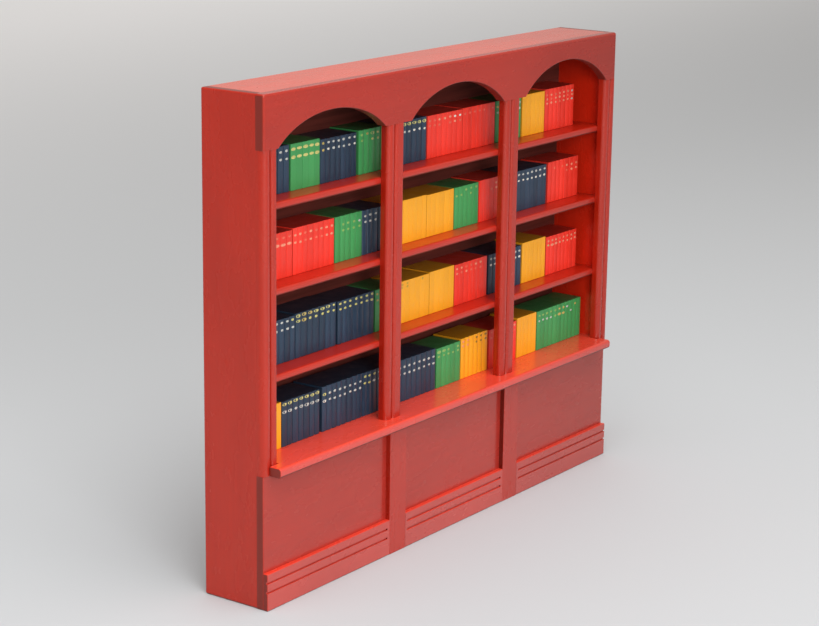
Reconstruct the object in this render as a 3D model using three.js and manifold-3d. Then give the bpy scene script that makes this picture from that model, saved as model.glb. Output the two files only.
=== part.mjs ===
// Miniature triple library bookcase with dummy books, in 1:12 dolls house scale.
// Millimetres, +Z up, the front faces -Y. The origin is at the centre of the underside.
import * as THREE from "three";
import { mergeVertices } from "three/addons/utils/BufferGeometryUtils.js";
import Module from "manifold-3d";

const wasm = await Module();
wasm.setup();

// Overall size
const WIDTH = 226;
const HEIGHT = 180;
const DEPTH = 32.5; // from the back to the front of the ledge's nose

// The case. Its depths are counted from the back, as "behind" and "front" distances.
const SIDE = 3; // thickness of the two sides, the top and the bottom
const CASE_DEPTH = 23.7;
const BACK_PANEL = 2;
const HOUSING = 1; // how far the shelves are let into the sides

// Shelves, about 30 mm apart
const LEDGE_TOP = 52;
const LEDGE_BOARD = 3.5;
const SHELF_BOARD = 2.8;
const SHELVES = [
  { name: "lower_shelf", top: 81.8 },
  { name: "middle_shelf", top: 112.3 },
  { name: "upper_shelf", top: 142.1 },
];

// Face frame: strips and boards glued on the front of the case, flush with one another
const FRAME_DEPTH = 3.6;
const FASCIA_BOTTOM = 161.2;
// Flat arches, a part of an ellipse each, cut by hand so that they differ a little
const ARCHES = [
  { centre: -75.3, width: 59.6, rise: 9.6 },
  { centre: 0.6, width: 59.8, rise: 10.4 },
  { centre: 75.9, width: 59.8, rise: 11.2 },
];
const ARCH_HALF_SWEEP = (55 * Math.PI) / 180;

// Columns: one moulding with a round reed on its left and a flatter one on its right.
// The outer columns are the same moulding, cut narrower on the right.
const COLUMN_WIDTH = 9;
const COLUMN_CENTRES = [-38.7, 37];
const OUTER_COLUMN_WIDTH = 7;
const REED_WIDTH = 4.1;
const REED_HEIGHT = 2.05;
const QUIRK_DEPTH = 1.5; // depth of the groove between the reeds
const SHOULDER = 1.3; // rounded part of the flatter reed next to the groove
const EDGE_ROUNDING = 0.9; // right edge of a column
const CORNER_FLANK = 2.7; // the left corner of the case is rounded over this depth

// The ledge's nose stops short of both ends of the case
const NOSE_LEFT = -110.6;
const NOSE_RIGHT = 108;
const NOSE_ROUNDING = 1.3;

// Closed lower part
const FRONT_BOARD = 2.9;
const APPLIED_STRIP = 1.9; // stiles and plinth stand this far out from the front board
const STILE_WIDTH = 10.1;
const STILE_CENTRES = [-37, 39]; // a little to the right of the columns above
const PLINTH_HEIGHT = 13.6;
const GROOVE_HEIGHTS = [6.9, 10.4];
const GROOVE_WIDTH = 0.8;
const GROOVE_DEPTH = 0.7;
const GROOVE_STOP = 1.3; // a groove ends this far from a stile

// Books: blocks of dummy spines, glued in rows. A block has one colour, a width that includes the gap to
// the next block, a height and, where it isn't BOOK_GAP, the width of that gap.
const BOOK_DEPTH = 13.4;
const BOOK_GAP = 0.4;
const BOOKS_FROM_LEFT = -109.6;
const BOOK_ROWS = [
  {
    name: "ledge",
    front: 17.5,
    blocks: [
      ["yellow", 18.1, 16.8],
      ["navy", 22.9, 16.6, 1.3],
      ["navy", 24.1, 16.8, 0.1],
      ["navy", 18, 16.6, 0.1],
      ["navy", 29, 16.3],
      ["green", 16.6, 15.8],
      ["yellow", 19.6, 16.3, 1],
      ["red", 20.3, 15.9],
      ["yellow", 15, 16.6, 0.6],
      ["green", 34.4, 16.4],
    ],
  },
  {
    name: "lower",
    front: 15.6,
    blocks: [
      ["navy", 28.1, 15.9, 0.1],
      ["navy", 24.2, 16.3, 0.8],
      ["navy", 22.4, 16],
      ["green", 15, 16],
      ["yellow", 19.5, 16.2, 0.1],
      ["yellow", 16.8, 16.5],
      ["red", 23.7, 16.2, 1.2],
      ["navy", 24.1, 16.1],
      ["yellow", 18.2, 16.7, 0.7],
      ["red", 24.1, 16.1],
    ],
  },
  {
    name: "middle",
    front: 15.8,
    blocks: [
      ["red", 26.2, 16.3, 0.2],
      ["red", 23.9, 16.7],
      ["green", 16.5, 16.7],
      ["navy", 16, 16.5],
      ["yellow", 23.7, 16.5, 0.1],
      ["yellow", 18.3, 16.2],
      ["green", 16.9, 16.2],
      ["red", 20.1, 16.5],
      ["navy", 29.8, 16.4, 1.2],
      ["red", 23.6, 16.7],
    ],
  },
  {
    name: "upper",
    front: 15.4,
    blocks: [
      ["navy", 25.4, 16.4],
      ["green", 16.7, 16.4],
      ["navy", 22.3, 15.8, 1.2],
      ["green", 16.8, 16.1],
      ["navy", 25.4, 16.3],
      ["red", 23.3, 16.2, 0.1],
      ["red", 22.5, 16.4],
      ["green", 19, 16.4],
      ["yellow", 16.8, 16.6],
      ["red", 22.4, 17],
    ],
  },
];

// Worked out from the sizes above
const HALF_WIDTH = WIDTH / 2;
const INNER_HALF = HALF_WIDTH - SIDE;
const HOUSED_HALF = INNER_HALF + HOUSING;
const BACK_Y = DEPTH / 2;
const FRAME_FRONT = CASE_DEPTH + FRAME_DEPTH;
const BOARD_FRONT = CASE_DEPTH + FRONT_BOARD;
const LEDGE_UNDERSIDE = LEDGE_TOP - LEDGE_BOARD;
const OUTER_COLUMN_EDGE = HALF_WIDTH - OUTER_COLUMN_WIDTH;
const ROW_BASES = [LEDGE_TOP, ...SHELVES.map((shelf) => shelf.top)];

const lacquer = new THREE.MeshStandardMaterial({ color: 0xb03a2e, roughness: 0.3, metalness: 0 });
const bareBack = new THREE.MeshStandardMaterial({ color: 0x8f3328, roughness: 0.55, metalness: 0 });
const BOOK_COLOURS = { navy: 0x333c4d, green: 0x3f9150, red: 0xe0352b, yellow: 0xf6a42c };
const bookMaterials = Object.fromEntries(
  Object.entries(BOOK_COLOURS).map(([name, color]) => [
    name,
    new THREE.MeshStandardMaterial({ color, roughness: 0.5, metalness: 0 }),
  ]),
);

const bookcase = new THREE.Group();
bookcase.name = "miniature_bookcase";

function add(name, geometry, material = lacquer) {
  const mesh = new THREE.Mesh(geometry, material);
  mesh.name = name;
  bookcase.add(mesh);
  return mesh;
}

// A squared board between two X values, two depths from the back and two heights.
function board(left, right, behind, front, bottom, top) {
  const geometry = new THREE.BoxGeometry(1, 1, 1);
  const corners = geometry.getAttribute("position");
  for (let i = 0; i < corners.count; i += 1) {
    const x = corners.getX(i) < 0 ? left : right;
    const y = BACK_Y - (corners.getY(i) < 0 ? front : behind);
    const z = corners.getZ(i) < 0 ? bottom : top;
    corners.setXYZ(i, x, y, z);
  }
  return geometry;
}

// An outline drawn in X and Z, made as thick as the space between two depths.
function plate(shape, behind, front, curveSegments = 12) {
  const geometry = new THREE.ExtrudeGeometry(shape, {
    depth: front - behind,
    bevelEnabled: false,
    curveSegments,
  });
  geometry.rotateX(Math.PI / 2);
  geometry.translate(0, BACK_Y - behind, 0);
  return geometry;
}

// Joining and cutting
function toSolid(geometry) {
  const plain = geometry.index ? geometry.toNonIndexed() : geometry.clone();
  plain.deleteAttribute("normal");
  plain.deleteAttribute("uv");
  const merged = mergeVertices(plain, 1e-4);
  const vertProperties = merged.attributes.position.array;
  return new wasm.Manifold(
    new wasm.Mesh({ numProp: 3, vertProperties, triVerts: new Uint32Array(merged.index.array) }),
  );
}

function toGeometry(solid) {
  const mesh = solid.getMesh();
  const geometry = new THREE.BufferGeometry();
  geometry.setAttribute("position", new THREE.BufferAttribute(mesh.vertProperties, 3));
  geometry.setIndex(new THREE.BufferAttribute(mesh.triVerts, 1));
  geometry.computeVertexNormals();
  return geometry;
}

function join(first, ...others) {
  return toGeometry(others.reduce((solid, next) => solid.add(toSolid(next)), toSolid(first)));
}

function cut(body, ...tools) {
  return toGeometry(tools.reduce((solid, tool) => solid.subtract(toSolid(tool)), toSolid(body)));
}

// Each side is one board with a housing in its inner face for every shelf and for the ledge.
function sidePanel(direction) {
  const span = (from, to) => (direction < 0 ? [-to, -from] : [from, to]);
  const panel = board(...span(INNER_HALF, HALF_WIDTH), 0, CASE_DEPTH, 0, HEIGHT);
  const boards = [
    [LEDGE_UNDERSIDE, LEDGE_TOP],
    ...SHELVES.map(({ top }) => [top - SHELF_BOARD, top]),
  ];
  const housings = boards.map(([bottom, top]) =>
    board(...span(INNER_HALF - 1, HOUSED_HALF), BACK_PANEL, CASE_DEPTH + 1, bottom, top),
  );
  return cut(panel, ...housings);
}

add("left_side", sidePanel(-1));
add("right_side", sidePanel(1));
add("top_panel", board(-INNER_HALF, INNER_HALF, 0, CASE_DEPTH, HEIGHT - SIDE, HEIGHT));
add("bottom_panel", board(-INNER_HALF, INNER_HALF, 0, CASE_DEPTH, 0, SIDE));
add("back_panel", board(-INNER_HALF, INNER_HALF, 0, BACK_PANEL, SIDE, HEIGHT - SIDE), bareBack);

SHELVES.forEach(({ name, top }) => {
  add(name, board(-HOUSED_HALF, HOUSED_HALF, BACK_PANEL, CASE_DEPTH, top - SHELF_BOARD, top));
});

// The ledge board reaches from the back panel to a rounded nose in front of the columns.
// It is notched at both ends, round the outer columns.
function ledgeBoard() {
  const radius = NOSE_ROUNDING;
  const arcY = radius - BACK_Y;
  const upper = LEDGE_TOP - radius;
  const lower = LEDGE_UNDERSIDE + radius;
  const profile = new THREE.Shape();
  profile.moveTo(BACK_Y - FRAME_FRONT, LEDGE_TOP);
  profile.lineTo(arcY, LEDGE_TOP);
  profile.absarc(arcY, upper, radius, Math.PI / 2, Math.PI, false);
  profile.absarc(arcY, lower, radius, Math.PI, (3 * Math.PI) / 2, false);
  profile.lineTo(BACK_Y - FRAME_FRONT, LEDGE_UNDERSIDE);
  profile.closePath();
  const nose = new THREE.ExtrudeGeometry(profile, {
    depth: NOSE_RIGHT - NOSE_LEFT,
    bevelEnabled: false,
    curveSegments: 12,
  });
  const alongX = new THREE.Matrix4().makeBasis(
    new THREE.Vector3(0, 1, 0),
    new THREE.Vector3(0, 0, 1),
    new THREE.Vector3(1, 0, 0),
  );
  nose.applyMatrix4(alongX);
  nose.translate(NOSE_LEFT, 0, 0);
  const edge = OUTER_COLUMN_EDGE;
  const neck = board(-edge, edge, CASE_DEPTH, FRAME_FRONT, LEDGE_UNDERSIDE, LEDGE_TOP);
  const shelf = board(-HOUSED_HALF, HOUSED_HALF, BACK_PANEL, CASE_DEPTH, LEDGE_UNDERSIDE, LEDGE_TOP);
  return join(shelf, neck, nose);
}

add("ledge_board", ledgeBoard());

// The fascia over the bays, with a flat arch cut in its lower edge for each of the three bays.
function archedFascia() {
  const shape = new THREE.Shape();
  shape.moveTo(-HALF_WIDTH, FASCIA_BOTTOM);
  for (const { centre, width, rise } of ARCHES) {
    const across = width / 2 / Math.sin(ARCH_HALF_SWEEP);
    const up = rise / (1 - Math.cos(ARCH_HALF_SWEEP));
    const start = Math.PI / 2 + ARCH_HALF_SWEEP;
    const end = Math.PI / 2 - ARCH_HALF_SWEEP;
    shape.lineTo(centre - width / 2, FASCIA_BOTTOM);
    shape.absellipse(centre, FASCIA_BOTTOM + rise - up, across, up, start, end, true, 0);
  }
  shape.lineTo(HALF_WIDTH, FASCIA_BOTTOM);
  shape.lineTo(HALF_WIDTH, HEIGHT);
  shape.lineTo(-HALF_WIDTH, HEIGHT);
  shape.closePath();
  return plate(shape, CASE_DEPTH, FRAME_FRONT, 32);
}

add("arched_fascia", archedFascia());

// A column between two X values. Its left flank is rounded over flankHeight.
function reededColumn(left, right, bottom, flankHeight = REED_HEIGHT) {
  const middle = left + REED_WIDTH / 2;
  const groove = left + REED_WIDTH;
  const quirk = QUIRK_DEPTH - FRAME_DEPTH;
  const flank = flankHeight - FRAME_DEPTH;
  const radius = EDGE_ROUNDING;
  const section = new THREE.Shape();
  section.moveTo(left, 0);
  section.lineTo(left, flank);
  section.absellipse(middle, flank, REED_WIDTH / 2, flankHeight, Math.PI, 1.5 * Math.PI, false, 0);
  section.absellipse(middle, quirk, REED_WIDTH / 2, QUIRK_DEPTH, 1.5 * Math.PI, 2 * Math.PI, false, 0);
  section.absellipse(groove + SHOULDER, quirk, SHOULDER, QUIRK_DEPTH, Math.PI, 1.5 * Math.PI, false, 0);
  section.absarc(right - radius, radius - FRAME_DEPTH, radius, 1.5 * Math.PI, 2 * Math.PI, false);
  section.lineTo(right, 0);
  section.closePath();
  const geometry = new THREE.ExtrudeGeometry(section, {
    depth: FASCIA_BOTTOM - bottom,
    bevelEnabled: false,
    curveSegments: 10,
  });
  geometry.translate(0, BACK_Y - CASE_DEPTH, bottom);
  return geometry;
}

add(
  "outer_left_column",
  reededColumn(-HALF_WIDTH, -OUTER_COLUMN_EDGE, LEDGE_UNDERSIDE, CORNER_FLANK),
);
const innerNames = ["inner_left_column", "inner_right_column"];
COLUMN_CENTRES.forEach((centre, i) => {
  const left = centre - COLUMN_WIDTH / 2;
  const right = centre + COLUMN_WIDTH / 2;
  add(innerNames[i], reededColumn(left, right, LEDGE_TOP));
});
add("outer_right_column", reededColumn(OUTER_COLUMN_EDGE, HALF_WIDTH, LEDGE_UNDERSIDE));

// Closed lower part: one front board with two stiles and three lengths of grooved plinth on it
add("front_board", board(-HALF_WIDTH, HALF_WIDTH, CASE_DEPTH, BOARD_FRONT, 0, LEDGE_UNDERSIDE));

const stripFront = BOARD_FRONT + APPLIED_STRIP;
const stileNames = ["left_stile", "right_stile"];
STILE_CENTRES.forEach((centre, i) => {
  const left = centre - STILE_WIDTH / 2;
  const right = centre + STILE_WIDTH / 2;
  add(stileNames[i], board(left, right, BOARD_FRONT, stripFront, 0, LEDGE_UNDERSIDE));
});

// The grooves run out at the ends of the case and stop short of the stiles.
function groovedPlinth(left, right, leftOpen, rightOpen) {
  const body = board(left, right, BOARD_FRONT, stripFront, 0, PLINTH_HEIGHT);
  const from = leftOpen ? left - 1 : left + GROOVE_STOP;
  const to = rightOpen ? right + 1 : right - GROOVE_STOP;
  const grooves = GROOVE_HEIGHTS.map((height) =>
    board(
      from,
      to,
      stripFront - GROOVE_DEPTH,
      stripFront + 1,
      height - GROOVE_WIDTH / 2,
      height + GROOVE_WIDTH / 2,
    ),
  );
  return cut(body, ...grooves);
}

const [leftStile, rightStile] = STILE_CENTRES;
const halfStile = STILE_WIDTH / 2;
add("left_plinth", groovedPlinth(-HALF_WIDTH, leftStile - halfStile, true, false));
add("middle_plinth", groovedPlinth(leftStile + halfStile, rightStile - halfStile, false, false));
add("right_plinth", groovedPlinth(rightStile + halfStile, HALF_WIDTH, false, true));

// Books, row by row from the ledge up and from left to right
BOOK_ROWS.forEach((row, rowIndex) => {
  const base = ROW_BASES[rowIndex];
  let left = BOOKS_FROM_LEFT;
  row.blocks.forEach(([colour, width, height, gap = BOOK_GAP], i) => {
    const number = String(i + 1).padStart(2, "0");
    const right = left + width - gap;
    add(
      `books_${row.name}_${number}_${colour}`,
      board(left, right, row.front - BOOK_DEPTH, row.front, base, base + height),
      bookMaterials[colour],
    );
    left += width;
  });
});

export default bookcase;
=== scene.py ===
"""The looks of the miniature bookcase: lacquered boards with softened edges, and blocks of dummy books."""

import math
import random

import bmesh
import bpy
from mathutils import Matrix, Vector


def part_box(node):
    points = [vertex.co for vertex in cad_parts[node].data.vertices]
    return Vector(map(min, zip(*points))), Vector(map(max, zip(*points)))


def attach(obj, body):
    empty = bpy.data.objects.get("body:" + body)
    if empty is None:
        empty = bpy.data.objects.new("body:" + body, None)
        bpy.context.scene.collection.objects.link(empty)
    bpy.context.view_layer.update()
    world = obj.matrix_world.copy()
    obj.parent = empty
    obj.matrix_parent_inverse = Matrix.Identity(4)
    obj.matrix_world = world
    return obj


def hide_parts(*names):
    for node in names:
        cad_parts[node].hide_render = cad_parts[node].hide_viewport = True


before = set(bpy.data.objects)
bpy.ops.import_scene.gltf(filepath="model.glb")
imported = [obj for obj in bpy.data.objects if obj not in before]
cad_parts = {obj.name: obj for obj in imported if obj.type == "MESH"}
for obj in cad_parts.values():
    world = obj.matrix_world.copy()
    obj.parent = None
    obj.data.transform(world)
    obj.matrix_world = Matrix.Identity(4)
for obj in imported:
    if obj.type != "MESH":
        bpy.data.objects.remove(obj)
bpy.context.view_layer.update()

MM = 0.001

# Camera: it looks at AIM from the photograph's direction
CAMERA_AZIMUTH = -54.419
CAMERA_ELEVATION = 14.257
CAMERA_ROLL = 0.817
CAMERA_DISTANCE = 0.8258
CAMERA_AIM = Vector((-0.0063, 0.0056, 0.0828))
LENS_MM = 95.55
SENSOR_MM = 36.0

# Colours, scene-linear
LACQUER_RED = (0.46, 0.0150, 0.0040)
LACQUER_DARK = (0.36, 0.0105, 0.0030)
END_GRAIN = (0.190, 0.0090, 0.0040)
# Painted shade on the faces that look down and on left flanks
PAINTED_SHADE = (0.110, 0.0060, 0.0030)
BLACK = (0.0, 0.0, 0.0)
# The back panel's dull brown stain, made dark enough to paint the shade inside the bays
BARE_BACK = (0.160, 0.0300, 0.0210)
# The floor is painted paler far behind the bookcase: painted light standing in for the brighter backdrop,
# which the rounded edges reflect
FLOOR_NEAR = (0.54, 0.56, 0.58)
FLOOR_FAR = (0.97, 0.98, 1.0)
FLOOR_PALER_FROM = 0.3  # metres behind the middle
FLOOR_PALER_TO = 1.5
PAINTS = {
    "navy": (0.019, 0.044, 0.082),
    "green": (0.055, 0.340, 0.096),
    "red": (0.90, 0.041, 0.022),
    "yellow": (0.94, 0.41, 0.012),
}
FOILS = {
    "s": ("silver", (0.58, 0.60, 0.55)),
    "w": ("white", (0.80, 0.78, 0.68)),
    "c": ("cream", (0.66, 0.62, 0.20)),
    "g": ("gold", (0.60, 0.46, 0.12)),
    "p": ("salmon", (0.95, 0.33, 0.20)),
    "r": ("rose", (0.93, 0.15, 0.09)),
    "l": ("leaf", (0.30, 0.52, 0.13)),
    "o": ("olive", (0.56, 0.33, 0.03)),
    "b": ("bronze", (0.30, 0.16, 0.03)),
}

# Lacquer
FRONT_SHEEN = 0.012  # painted reflection: the pale floor's sheen added to the faces that look forward
RIGHT_SHADE = 0.2  # painted shade: how much darker the wood is painted at the right end, where the light falls off
RIGHT_END = 0.12  # metres from the middle to where that painted shade is full
# How strongly the painted shade darkens the faces that look down
UNDERSIDE_SHADE_SHARE = 0.8
STREAK_SHARE = 0.3
CLOUD_SHARE = 0.42
PORE_SHARE = 0.06
END_GRAIN_ROUGHER = 0.25
UNDERSIDE_ROUGHER = 0.4
COAT = 0.25
COAT_ROUGHNESS = 0.09
WARM_GLOSS = (1.0, 0.86, 0.72)
LACQUER_BUMP = 0.035
LACQUER_BUMP_MM = 0.1

# Studio, in metres and watts: place, target, width, height and power of each light
SKY_COLOUR = (1.0, 0.94, 0.88)
SKY_STRENGTH = 0.47
MIDDLE = (0, 0, 0.09)
LIGHTS = {
    "overhead": ((-0.25, -0.35, 1.25), MIDDLE, 1.2, 1.0, 14),
    "key": ((-0.62, -0.78, 0.42), MIDDLE, 0.45, 0.45, 5.6),
    "backdrop": ((1.7, 1.5, 1.3), (1.5, 1.3, 0), 1.6, 1.6, 5),
}

# Frame boards. Each rule says which way the grain runs and which faces are glued to a neighbour, so that
# their edges stay square. "round" and "fine" are the radii of outer and inner edges in millimetres. "tone"
# lightens or darkens the stain, and for the right side, the top panel and the ledge board it paints light;
# "front_sheen" adds a painted reflection on forward faces, "up" painted light on upward ones, "flank"
# paints shade on the ones that look left, "matte" dulls the lacquer, and "right_shade" replaces
# RIGHT_SHADE.
# Most boards get a painted reflection of the pale floor on their forward faces.
CASE_SIDE = {"grain": "Z", "round": 0.7, "inside": False, "front_sheen": 0.006}
SHELF = {"grain": "X", "glued": ["left", "right", "back"], "round": 1.0, "tone": 1.1, "matte": 0.06}
COLUMN = {"grain": "Z", "front_sheen": 0.007}
STILE = {"grain": "Z", "glued": ["back", "top"], "round": 0.15, "front_sheen": 0.014}
# Plinths: a painted reflection on their fronts and a painted highlight on their tops.
PLINTH = {"grain": "X", "round": 0.4, "tone": 1.05, "front_sheen": 0.055, "up": (0.36, 0.040, 0.024)}
LEFT_TONE = 0.96
RIGHT_TONE = 0.93
BOARDS = {
    "left_side": {**CASE_SIDE, "glued": ["right", "front"]},
    # The right side's inner face is painted lighter for the light it gets from the left, and has no painted
    # shade toward the right end.
    "right_side": {**CASE_SIDE, "glued": ["left", "front"], "tone": 1.4, "right_shade": 0.0},
    "top_panel": {
        # The top is painted lighter, with painted light on its upward face, for the light from above.
        "grain": "X",
        "glued": ["left", "right", "front", "bottom"],
        "round": 0.7,
        "tone": 1.4,
        "front_sheen": 0.0,
        "up": (0.08, 0.050, 0.030),
    },
    "bottom_panel": {"grain": "X", "glued": ["left", "right", "front", "top"], "round": 0.4},
    "back_panel": {"grain": "X", "glued": ["left", "right", "top", "bottom"]},
    "lower_shelf": SHELF,
    "middle_shelf": SHELF,
    "upper_shelf": SHELF,
    # The ledge is painted lighter, with painted light on its top and a painted reflection on its front.
    "ledge_board": {
        "grain": "X",
        "glued": ["back"],
        "round": 0.35,
        "tone": 1.42,
        "front_sheen": 0.055,
        "up": (0.20, 0.046, 0.030),
    },
    "arched_fascia": {
        "grain": "X",
        "glued": ["back", "bottom"],
        "round": 1.0,
        "fine": 0.4,
        "tone": 0.86,
        "front_sheen": 0.010,
    },
    # Columns: painted reflection on their fronts, painted shade on the left flanks of the inner ones, and
    # the outer right one's own share of painted shade toward the right end.
    "outer_left_column": {**COLUMN, "tone": LEFT_TONE},
    "inner_left_column": {**COLUMN, "tone": LEFT_TONE, "flank": 0.25},
    "inner_right_column": {**COLUMN, "tone": RIGHT_TONE, "flank": 0.25},
    "outer_right_column": {**COLUMN, "tone": RIGHT_TONE, "right_shade": 0.08},
    "front_board": {"grain": "X", "glued": ["back", "top"], "round": 0.45, "tone": 0.92, "front_sheen": 0.017},
    # Stiles: painted shade on their left flanks, deep on the right one.
    "left_stile": {**STILE, "flank": 0.4},
    "right_stile": {**STILE, "flank": 0.95},
    "left_plinth": {**PLINTH, "glued": ["back", "right"]},
    "middle_plinth": {**PLINTH, "glued": ["back", "left", "right"]},
    "right_plinth": {**PLINTH, "glued": ["back", "left"]},
}
SIDES = {
    "left": (0, -1),
    "right": (0, 1),
    "front": (1, -1),
    "back": (1, 1),
    "bottom": (2, -1),
    "top": (2, 1),
}

# Books. A block's spines are more or less clearly parted.
SPINE_PITCH_MM = 3.12
RELIEF = {"navy": 0.9, "green": 0.5, "red": 0.5, "yellow": 0.25}
BLOCK_RELIEF = {
    "ledge_07_yellow": 0.8,
    "middle_03_green": 0.8,
    "middle_04_navy": 1.4,
    "upper_02_green": 0.2,
    "upper_04_green": 1.3,
    "upper_08_green": 1.3,
    "middle_09_navy": 0.3,
}
SPINE_CROWN_MM = 0.24
SPINE_GROOVE_MM = 0.55
RIM_MM = 0.22
TOP_SHADE = 0.45  # painted shade: how bright the paint is on the tops of the blocks, in the shade of the shelf above
# Painted shade: how much of the darker paint goes on the faces that look sideways, the groove walls and
# block ends
SIDE_SHADE = 0.6
BRUSH_BUMP = 0.2
BRUSH_BUMP_MM = 0.06

# Foil marks on the spines, in two rows or three. Each row is its height over the shelf and a letter for
# each spine, of which the last is repeated. A capital is a wide dash, a small letter is a dot, "-" is bare.
FOIL_ROWS = {
    "ledge_02_navy": [(15.5, "CCCCC"), (12.6, "SSsSS")],
    "ledge_03_navy": [(13.9, "Csssss"), (11.4, "Wsssss")],
    "ledge_04_navy": [(15.1, "cccssw"), (12.5, "ccssss")],
    "ledge_05_navy": [(13.4, "s"), (10.8, "s")],
    "ledge_06_green": [(14.2, "LLl-ll"), (12.5, "lllll-")],
    "ledge_07_yellow": [(15.0, "pp-bbb"), (13.2, "pp-bbb")],
    "ledge_08_red": [(14.6, "rprprp"), (12.4, "rr-rpr")],
    "ledge_10_green": [(14.4, "lllllggs-g-"), (12.2, "sssslGG-s--")],
    "lower_01_navy": [(14.6, "ccggssssc"), (12.0, "CCCcsssss")],
    "lower_02_navy": [(15.3, "CGGCCCc"), (13.4, "CGccccc")],
    "lower_03_navy": [(15.0, "c"), (13.0, "c")],
    "lower_04_green": [(14.4, "gll"), (12.0, "gll")],
    "lower_05_yellow": [(15.0, "oo--o-"), (13.7, "oo----")],
    "lower_07_red": [(14.4, "pprrpp-r"), (12.6, "prprrr-r")],
    "lower_08_navy": [(14.2, "s"), (11.8, "w")],
    "lower_10_red": [(14.2, "ppprpppp"), (12.4, "cPPppppp")],
    "middle_01_red": [(14.3, "r"), (11.8, "PPPPPP")],
    "middle_02_red": [(14.1, "pprprpp"), (11.4, "pprprrp")],
    "middle_03_green": [(13.5, "-lllsg"), (11.4, "-lllls")],
    "middle_04_navy": [(14.4, "s"), (12.2, "s")],
    "middle_05_yellow": [(14.0, "oo----")],
    "middle_07_green": [(14.6, "--llll"), (12.8, "ll-l--")],
    "middle_08_red": [(14.2, "---ppr"), (12.2, "--rppr")],
    "middle_09_navy": [(14.7, "s"), (12.3, "w")],
    "middle_10_red": [(13.8, "-r-rppp"), (11.8, "----rpp")],
    "upper_01_navy": [(14.3, "s"), (11.7, "s")],
    "upper_02_green": [(14.5, "CCCCC"), (11.7, "CCCCC")],
    "upper_03_navy": [(14.3, "gssssss"), (11.9, "gwssssw")],
    "upper_04_green": [(14.4, "lgCccc"), (12.2, "l-ccCc")],
    "upper_05_navy": [(14.8, "CCCCC"), (12.1, "swsssw")],
    "upper_06_red": [(14.2, "rrpppwww"), (12.2, "rrr-rprr")],
    "upper_07_red": [(14.2, "rrrrr-rp"), (12.2, "--------rr")],
    "upper_08_green": [(14.2, "g-gss"), (11.9, "s-gss")],
    "upper_10_red": [(14.5, "rprppps"), (12.9, "prppprp"), (11.2, "ppprpps")],
}
FOIL_RAISE_MM = 0.03


def material(name):
    """A new node material, its tree and its Principled shader."""
    made = bpy.data.materials.new(name)
    made.use_nodes = True
    tree = made.node_tree
    shader = tree.nodes["Principled BSDF"]
    return made, tree, shader


def node(tree, kind, **settings):
    """A new shader node. A setting names a property or, with its index or name, an input."""
    made = tree.nodes.new(kind)
    for key, value in settings.items():
        if hasattr(made, key):
            setattr(made, key, value)
        else:
            made.inputs[key.replace("_", " ")].default_value = value
    return made


def math_node(tree, operation, first, second):
    """A Math node over two sockets or numbers, and its result."""
    made = tree.nodes.new("ShaderNodeMath")
    made.operation = operation
    for socket, value in zip(made.inputs, (first, second)):
        if isinstance(value, (int, float)):
            socket.default_value = value
        else:
            tree.links.new(value, socket)
    return made.outputs[0]


def mix_colour(tree, share, first, second, blend="MIX"):
    """A colour mix. share, first and second are sockets or values."""
    made = tree.nodes.new("ShaderNodeMix")
    made.data_type = "RGBA"
    made.blend_type = blend
    for socket, value in zip((made.inputs[0], made.inputs[6], made.inputs[7]), (share, first, second)):
        if isinstance(value, (int, float)):
            socket.default_value = value
        elif isinstance(value, tuple):
            socket.default_value = (*value, 1)
        else:
            tree.links.new(value, socket)
    return made.outputs[2]


def ramp(tree, value, low, high, low_share=0.0, high_share=1.0):
    """value turned smoothly from low_share below low to high_share above high."""
    made = tree.nodes.new("ShaderNodeMapRange")
    made.interpolation_type = "SMOOTHSTEP"
    made.inputs["From Min"].default_value = low
    made.inputs["From Max"].default_value = high
    made.inputs["To Min"].default_value = low_share
    made.inputs["To Max"].default_value = high_share
    tree.links.new(value, made.inputs["Value"])
    return made.outputs[0]


def noise(tree, place, stretch, detail=3.0, shift=(0, 0, 0)):
    """Noise whose features are about stretch millimetres long on each axis."""
    mapping = tree.nodes.new("ShaderNodeMapping")
    mapping.inputs["Location"].default_value = shift
    mapping.inputs["Scale"].default_value = [1 / (length * MM) for length in stretch]
    tree.links.new(place, mapping.inputs["Vector"])
    made = tree.nodes.new("ShaderNodeTexNoise")
    made.inputs["Scale"].default_value = 1
    made.inputs["Detail"].default_value = detail
    tree.links.new(mapping.outputs[0], made.inputs["Vector"])
    return made.outputs[0]


def face_direction(tree):
    """Which way the surface faces, as x, y and z sockets."""
    normal = node(tree, "ShaderNodeNewGeometry").outputs["Normal"]
    parts = node(tree, "ShaderNodeSeparateXYZ")
    tree.links.new(normal, parts.inputs[0])
    return parts.outputs


def negative(tree, value):
    return math_node(tree, "MULTIPLY", value, -1)


def add_painted_light(tree, red, share, added):
    """The stain with painted light added where share is high."""
    return mix_colour(tree, 1.0, red, mix_colour(tree, share, BLACK, added), "ADD")


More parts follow.
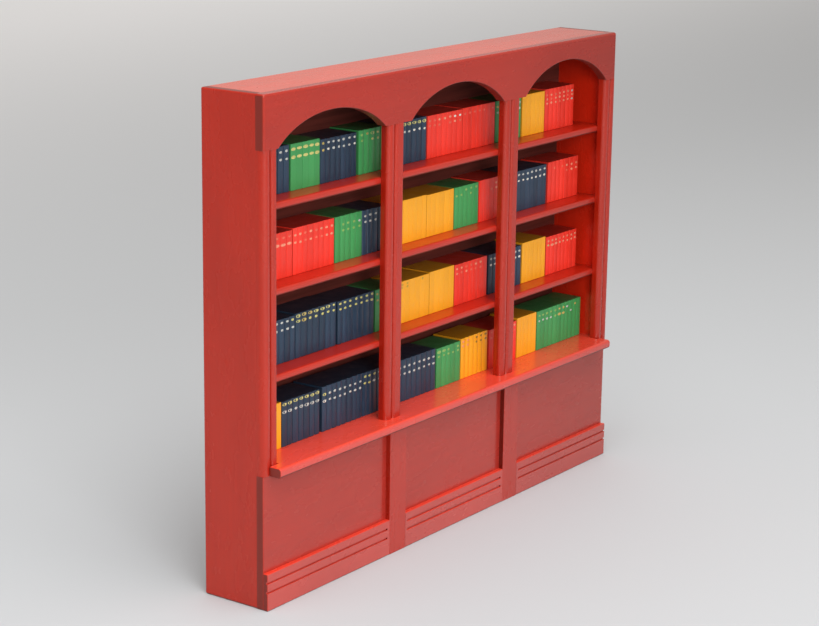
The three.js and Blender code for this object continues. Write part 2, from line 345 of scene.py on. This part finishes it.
def stain(tree, rule, place, facing, streaks, clouds, pore_share, end_share, down_share):
    """The colour of the stained wood: grain first, then the painted light, reflection and shade set by
    which way its faces look and by its place.
    """
    tone = rule.get("tone", 1.0)
    front_sheen = rule.get("front_sheen", FRONT_SHEEN)
    light = tuple(tone * c for c in LACQUER_RED)
    dark = tuple(tone * c for c in LACQUER_DARK)
    red = mix_colour(tree, ramp(tree, streaks, 0.3, 0.75, 0.0, STREAK_SHARE), light, dark)
    red = mix_colour(tree, ramp(tree, clouds, 0.35, 0.7, 0.0, CLOUD_SHARE), red, dark)
    red = mix_colour(tree, pore_share, red, END_GRAIN)

    # Painted reflection on the faces that look forward, painted light on those that look up
    front_share = ramp(tree, negative(tree, facing[1]), 0.5, 0.95)
    red = add_painted_light(tree, red, front_share, (front_sheen, front_sheen, front_sheen))
    up_share = ramp(tree, facing[2], 0.5, 0.95)
    red = add_painted_light(tree, red, up_share, rule.get("up", BLACK))
    # Painted shade on the faces that look left
    flank_share = ramp(tree, negative(tree, facing[0]), 0.92, 0.99)
    flank_share = math_node(tree, "MULTIPLY", flank_share, rule.get("flank", 0.0))
    red = mix_colour(tree, flank_share, red, PAINTED_SHADE)

    # Painted shade toward the right end, where the light falls off
    where = node(tree, "ShaderNodeSeparateXYZ")
    tree.links.new(place, where.inputs[0])
    right_shade_share = ramp(tree, where.outputs[0], 0.0, RIGHT_END, 0.0, rule.get("right_shade", RIGHT_SHADE))
    red = mix_colour(tree, right_shade_share, red, BLACK)
    red = mix_colour(tree, end_share, red, END_GRAIN)
    # Painted shade on the faces that look down
    return mix_colour(tree, math_node(tree, "MULTIPLY", down_share, UNDERSIDE_SHADE_SHARE), red, PAINTED_SHADE)


def lacquered_wood(name, rule, seed):
    """Red stained wood under satin lacquer, with its grain along one axis, darker end grain, and painted
    light, reflection and shade on its faces.
    """
    matte = rule.get("matte", 0.0)
    made, tree, shader = material(name)
    rng = random.Random(seed)
    shift = tuple(rng.uniform(-50, 50) for _ in range(3))
    place = node(tree, "ShaderNodeTexCoord").outputs["Object"]
    along = "XYZ".index(rule["grain"])

    def stretched(across, length):
        return [length if i == along else across for i in range(3)]

    streaks = noise(tree, place, stretched(1.6, 34), 4, shift)
    clouds = noise(tree, place, stretched(16, 44), 3, shift)
    pores = noise(tree, place, stretched(0.22, 3.4), 2, shift)
    pore_share = ramp(tree, pores, 0.68, 0.82, 0.0, PORE_SHARE)
    facing = face_direction(tree)
    end_share = ramp(tree, math_node(tree, "ABSOLUTE", facing[along], 0), 0.8, 0.98)
    down_share = ramp(tree, negative(tree, facing[2]), 0.1, 0.6)
    red = stain(tree, rule, place, facing, streaks, clouds, pore_share, end_share, down_share)
    tree.links.new(red, shader.inputs["Base Color"])

    rough = noise(tree, place, stretched(6, 14), 3, shift)
    gloss = ramp(tree, rough, 0.3, 0.7, 0.22, 0.3)
    gloss = math_node(tree, "ADD", gloss, math_node(tree, "MULTIPLY", end_share, END_GRAIN_ROUGHER))
    gloss = math_node(tree, "ADD", gloss, math_node(tree, "MULTIPLY", down_share, UNDERSIDE_ROUGHER))
    gloss = math_node(tree, "ADD", gloss, matte)
    tree.links.new(gloss, shader.inputs["Roughness"])
    shader.inputs["Coat Weight"].default_value = COAT * (1 - 5 * matte)
    shader.inputs["Coat Roughness"].default_value = COAT_ROUGHNESS
    shader.inputs["Specular Tint"].default_value = (*WARM_GLOSS, 1)

    height = math_node(tree, "MULTIPLY", streaks, 0.2)
    height = math_node(tree, "SUBTRACT", height, math_node(tree, "MULTIPLY", pore_share, 0.5))
    peel = noise(tree, place, (5, 5, 5), 1, shift)
    height = math_node(tree, "ADD", height, math_node(tree, "MULTIPLY", peel, 0.5))
    add_bump(tree, shader, height, LACQUER_BUMP, LACQUER_BUMP_MM)
    return made


def add_bump(tree, shader, height, strength, distance_mm):
    bump = node(tree, "ShaderNodeBump", Strength=strength)
    bump.inputs["Distance"].default_value = distance_mm * MM
    tree.links.new(height, bump.inputs["Height"])
    tree.links.new(bump.outputs[0], shader.inputs["Normal"])


def bare_panel(name):
    """Thin panel with a dull brown stain, dark enough to paint the shade inside the bays, and no lacquer.
    """
    made, tree, shader = material(name)
    place = node(tree, "ShaderNodeTexCoord").outputs["Object"]
    streaks = noise(tree, place, (40, 2, 1.8), 4)
    darker = tuple(0.6 * c for c in BARE_BACK)
    tree.links.new(
        mix_colour(tree, ramp(tree, streaks, 0.3, 0.7), BARE_BACK, darker), shader.inputs["Base Color"]
    )
    tree.links.new(ramp(tree, streaks, 0.3, 0.7, 0.7, 0.8), shader.inputs["Roughness"])
    shader.inputs["Specular IOR Level"].default_value = 0.2
    return made


def painted_spines(colour):
    """Brushed paint of one colour, each spine a little lighter or darker than the next, with painted shade
    on the tops and on the faces that look sideways.
    """
    made, tree, shader = material(f"painted_spines_{colour}")
    base = PAINTS[colour]
    place = node(tree, "ShaderNodeTexCoord").outputs["Object"]
    tone = node(tree, "ShaderNodeAttribute", attribute_name="spine_tone").outputs["Fac"]
    strokes = noise(tree, place, (0.5, 0.5, 9), 3)
    wear = noise(tree, place, (5, 5, 4), 3)
    contrast = RELIEF[colour]
    darker = tuple((1 - 0.28 * contrast) * c for c in base)
    lighter = tuple(min(1.0, (1 + 0.15 * contrast) * c) for c in base)
    paint = mix_colour(tree, tone, darker, lighter)
    paint = mix_colour(tree, ramp(tree, strokes, 0.4, 0.75, 0.0, 0.3), paint, darker)
    paint = mix_colour(tree, ramp(tree, wear, 0.45, 0.75, 0.0, 0.25), paint, lighter)
    facing = face_direction(tree)
    # Painted shade on the tops and on the faces that look sideways
    shaded_paint = tuple(TOP_SHADE * c for c in base)
    paint = mix_colour(tree, ramp(tree, facing[2], 0.8, 0.95), paint, shaded_paint)
    side_share = ramp(tree, math_node(tree, "ABSOLUTE", facing[0], 0), 0.9, 0.99, 0.0, SIDE_SHADE)
    paint = mix_colour(tree, side_share, paint, shaded_paint)
    tree.links.new(paint, shader.inputs["Base Color"])
    tree.links.new(ramp(tree, wear, 0.3, 0.7, 0.36, 0.5), shader.inputs["Roughness"])
    add_bump(tree, shader, strokes, BRUSH_BUMP, BRUSH_BUMP_MM)
    return made


def foil(name, colour):
    """Pressed foil, worn thin in places."""
    made, tree, shader = material(f"foil_{name}")
    place = node(tree, "ShaderNodeTexCoord").outputs["Object"]
    wear = noise(tree, place, (0.6, 0.6, 0.6), 3)
    worn = tuple(0.72 * c for c in colour)
    tree.links.new(
        mix_colour(tree, ramp(tree, wear, 0.4, 0.75), colour, worn), shader.inputs["Base Color"]
    )
    tree.links.new(ramp(tree, wear, 0.3, 0.7, 0.28, 0.42), shader.inputs["Roughness"])
    return made


def add_piece(name, mesh, cad_node):
    """Puts a finished mesh in the scene in place of its CAD node."""
    piece = bpy.data.objects.new(name, mesh)
    bpy.context.scene.collection.objects.link(piece)
    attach(piece, "root")
    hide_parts(cad_node)
    return piece


def even_normals(piece):
    """Flat faces stay flat next to their rounded edges."""
    weighted = piece.modifiers.new("even_normals", "WEIGHTED_NORMAL")
    weighted.keep_sharp = True
    weighted.weight = 50


def is_glued(face, lowest, highest, glued):
    """True if the face lies on a side of the box that is glued to a neighbour."""
    middle = face.calc_center_median()
    for side in glued:
        axis, direction = SIDES[side]
        limit = (lowest if direction < 0 else highest)[axis]
        if face.normal[axis] * direction > 0.99 and abs(middle[axis] - limit) < 0.01 * MM:
            return True
    return False


def on_box(face, lowest, highest):
    """True if the face lies on one of the six sides of the box."""
    return is_glued(face, lowest, highest, SIDES)


def rounded_board(cad_node, rule):
    """A copy of a CAD board with its open edges rounded."""
    lowest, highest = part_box(cad_node)
    built = bmesh.new()
    built.from_mesh(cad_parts[cad_node].data)
    bmesh.ops.remove_doubles(built, verts=built.verts, dist=0.001 * MM)
    bmesh.ops.dissolve_limit(built, angle_limit=math.radians(0.5), verts=built.verts, edges=built.edges)
    built.normal_update()
    outer, inner = [], []
    for edge in built.edges:
        if len(edge.link_faces) != 2 or not edge.is_convex:
            continue
        if edge.calc_face_angle() < math.radians(30):
            continue
        faces = edge.link_faces
        if any(is_glued(face, lowest, highest, rule.get("glued", SIDES)) for face in faces):
            continue
        if all(on_box(face, lowest, highest) for face in faces):
            outer.append(edge)
        elif rule.get("inside", True):
            inner.append(edge)
    radius = rule.get("round", 0)
    for edges, size in ((outer, radius), (inner, rule.get("fine", radius))):
        edges = [edge for edge in edges if edge.is_valid]
        if edges and size:
            bmesh.ops.bevel(
                built,
                geom=edges,
                offset=size * MM,
                segments=4,
                profile=0.5,
                affect="EDGES",
                clamp_overlap=True,
            )
    for face in built.faces:
        face.smooth = True
    for edge in built.edges:
        if len(edge.link_faces) == 2 and edge.calc_face_angle() > math.radians(35):
            edge.smooth = False
    mesh = bpy.data.meshes.new(f"{cad_node}_board")
    built.to_mesh(mesh)
    built.free()
    return mesh


def build_frame():
    for seed, (cad_node, rule) in enumerate(BOARDS.items()):
        mesh = rounded_board(cad_node, rule)
        mesh.materials.clear()
        if cad_node == "back_panel":
            mesh.materials.append(bare_panel("bare_back"))
        else:
            mesh.materials.append(lacquered_wood(f"lacquer_{cad_node}", rule, seed))
        piece = add_piece(f"{cad_node}_lacquered", mesh, cad_node)
        even_normals(piece)


def build_camera():
    azimuth = math.radians(CAMERA_AZIMUTH)
    elevation = math.radians(CAMERA_ELEVATION)
    back = Vector(
        (
            math.sin(azimuth) * math.cos(elevation),
            -math.cos(azimuth) * math.cos(elevation),
            math.sin(elevation),
        )
    )
    data = bpy.data.cameras.new("camera")
    data.lens = LENS_MM
    data.sensor_width = SENSOR_MM
    data.clip_start = 0.01
    data.clip_end = 50
    camera = bpy.data.objects.new("camera", data)
    bpy.context.scene.collection.objects.link(camera)
    level = back.to_track_quat("Z", "Y").to_matrix()
    roll = Matrix.Rotation(math.radians(CAMERA_ROLL), 3, "Z")
    camera.matrix_world = Matrix.Translation(CAMERA_AIM + back * CAMERA_DISTANCE) @ (level @ roll).to_4x4()
    bpy.context.scene.camera = camera


def area_light(name, place, target, width, height, power):
    data = bpy.data.lights.new(name, "AREA")
    data.shape = "RECTANGLE"
    data.size = width
    data.size_y = height
    data.energy = power
    light = bpy.data.objects.new(name, data)
    light.location = place
    light.rotation_mode = "QUATERNION"
    light.rotation_quaternion = (Vector(place) - Vector(target)).to_track_quat("Z", "Y")
    bpy.context.scene.collection.objects.link(light)


def build_stage():
    bpy.ops.mesh.primitive_plane_add(size=12)
    floor = bpy.context.object
    floor.name = "floor"
    made, tree, shader = material("pale_floor")
    place = node(tree, "ShaderNodeTexCoord").outputs["Object"]
    away = node(tree, "ShaderNodeSeparateXYZ")
    tree.links.new(place, away.inputs[0])
    # Painted light: paler floor far behind the bookcase
    far_share = ramp(tree, away.outputs[1], FLOOR_PALER_FROM, FLOOR_PALER_TO)
    tone = mix_colour(tree, far_share, FLOOR_NEAR, FLOOR_FAR)
    tree.links.new(tone, shader.inputs["Base Color"])
    shader.inputs["Roughness"].default_value = 0.8
    floor.data.materials.append(made)
    world = bpy.data.worlds.new("studio")
    bpy.context.scene.world = world
    world.use_nodes = True
    background = world.node_tree.nodes["Background"]
    background.inputs["Color"].default_value = (*SKY_COLOUR, 1)
    background.inputs["Strength"].default_value = SKY_STRENGTH
    for name, settings in LIGHTS.items():
        area_light(name, *settings)
    bpy.context.scene.view_settings.view_transform = "Standard"


def lay_out_spines(width, relief, rng):
    """The spines across a block: left, right, centre, half width, setback, crown and tone of each."""
    count = round(width / SPINE_PITCH_MM)
    pitches = [rng.uniform(0.9, 1.1) for _ in range(count)]
    scale = width / sum(pitches)
    spines = []
    left = 0.0
    for pitch in pitches:
        right = left + pitch * scale
        spines.append(
            {
                "right": right,
                "centre": (left + right) / 2,
                "half": (right - left) / 2 - 0.06 - 0.13 * relief,
                "setback": rng.uniform(0.0, 0.1) * relief,
                "crown": SPINE_CROWN_MM * relief,
                "tone": rng.random(),
            }
        )
        left = right
    return spines


def spine_depth(spine, across):
    """How far behind the block's front a spine's face is, at a distance from the spine's centre."""
    share = across / spine["half"]
    return spine["setback"] + spine["crown"] * share * share


def block_outline(spines, width, depth, relief):
    """The block's outline seen from above, as across, depth and tone."""
    shoulder = 0.35 + 0.4 * relief
    outline = [(0.0, depth, spines[0]["tone"]), (0.0, shoulder, spines[0]["tone"])]
    steps = 8
    for spine in spines:
        for step in range(steps + 1):
            across = spine["half"] * (2 * step / steps - 1)
            outline.append((spine["centre"] + across, spine_depth(spine, across), spine["tone"]))
        if spine is not spines[-1]:
            groove = 0.12 + SPINE_GROOVE_MM * relief
            outline.append((spine["right"], groove, spine["tone"]))
    outline.append((width, shoulder, spines[-1]["tone"]))
    outline.append((width, depth, spines[-1]["tone"]))
    return outline


def outward(outline):
    """The outward direction at each point of the outline."""
    total = len(outline)
    directions = []
    for i in range(total):
        before = outline[i - 1]
        after = outline[(i + 1) % total]
        along = Vector((after[0] - before[0], after[1] - before[1]))
        directions.append(Vector((along.y, -along.x)).normalized())
    return directions


def shell(built, corner, outline, height):
    """The block itself: its outline drawn up to its height, with rounded rims at the bottom and top."""
    tone_layer = built.faces.layers.float["spine_tone"]
    rings = []
    for step in range(4):
        angle = math.radians(30 * step)
        rings.append((RIM_MM * (1 - math.sin(angle)), RIM_MM * (1 - math.cos(angle))))
    rings += [(inset, height - rise) for inset, rise in reversed(rings)]
    directions = outward(outline)
    loops = []
    for inset, z in rings:
        loop = []
        for (x, y, _), direction in zip(outline, directions):
            place = Vector((x - direction.x * inset, y - direction.y * inset, z))
            loop.append(built.verts.new(corner + place * MM))
        loops.append(loop)
    total = len(outline)
    for below, above in zip(loops, loops[1:]):
        for i in range(total):
            j = (i + 1) % total
            face = built.faces.new((below[i], below[j], above[j], above[i]))
            face[tone_layer] = outline[i][2]
    for loop in (reversed(loops[0]), loops[-1]):
        built.faces.new(loop)[tone_layer] = 0.5


def foil_mark(built, corner, spine, shift, height, size, slot):
    """A thin pillow of foil on a spine. Its rim is sunk in the spine and it follows the crown."""
    points = 14
    rings = []
    for share, raised in ((1.0, -0.04), (0.8, FOIL_RAISE_MM)):
        ring = []
        for i in range(points):
            angle = 2 * math.pi * i / points
            across = shift + share * size[0] / 2 * math.cos(angle)
            up = height + share * size[1] / 2 * math.sin(angle)
            y = spine_depth(spine, across) - raised
            ring.append(built.verts.new(corner + Vector((spine["centre"] + across, y, up)) * MM))
        rings.append(ring)
    faces = [built.faces.new(reversed(rings[0])), built.faces.new(rings[1])]
    for i in range(points):
        j = (i + 1) % points
        faces.append(built.faces.new((rings[0][i], rings[0][j], rings[1][j], rings[1][i])))
    for face in faces:
        face.material_index = slot


def book_block(cad_node, colour, paint, foils, rng):
    """One block of dummy books: a row of slightly crowned spines with their foil marks."""
    lowest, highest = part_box(cad_node)
    width, depth, height = (highest - lowest) / MM
    relief = BLOCK_RELIEF.get(cad_node.removeprefix("books_"), RELIEF[colour])
    spines = lay_out_spines(width, relief, rng)
    built = bmesh.new()
    built.faces.layers.float.new("spine_tone")
    shell(built, lowest, block_outline(spines, width, depth, relief), height)
    used = []
    for row_height, letters in FOIL_ROWS.get(cad_node.removeprefix("books_"), []):
        for index, spine in enumerate(spines):
            letter = letters[min(index, len(letters) - 1)]
            if letter == "-":
                continue
            if letter.lower() not in used:
                used.append(letter.lower())
            wide = letter.isupper()
            across = spine["half"] * rng.uniform(1.85, 1.98) if wide else rng.uniform(1.4, 1.8)
            up = rng.uniform(1.1, 1.4) if wide else rng.uniform(0.9, 1.1)
            shift = 0.0 if wide else rng.uniform(-0.15, 0.15)
            place = row_height + rng.uniform(-0.12, 0.12)
            slot = 1 + used.index(letter.lower())
            foil_mark(built, lowest, spine, shift, place, (across, up), slot)
    bmesh.ops.recalc_face_normals(built, faces=built.faces)
    for face in built.faces:
        face.smooth = True
    for edge in built.edges:
        if edge.calc_face_angle(0) > math.radians(40):
            edge.smooth = False
    mesh = bpy.data.meshes.new(f"{cad_node}_spines")
    built.to_mesh(mesh)
    built.free()
    for made in (paint, *(foils[letter] for letter in used)):
        mesh.materials.append(made)
    return mesh


def build_books():
    paints = {colour: painted_spines(colour) for colour in PAINTS}
    foils = {letter: foil(name, colour) for letter, (name, colour) in FOILS.items()}
    rng = random.Random(7)
    for cad_node in sorted(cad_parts):
        if not cad_node.startswith("books_"):
            continue
        colour = cad_node.split("_")[-1]
        mesh = book_block(cad_node, colour, paints[colour], foils, rng)
        piece = add_piece(f"{cad_node}_spines", mesh, cad_node)
        even_normals(piece)


build_frame()
build_books()
build_camera()
build_stage()
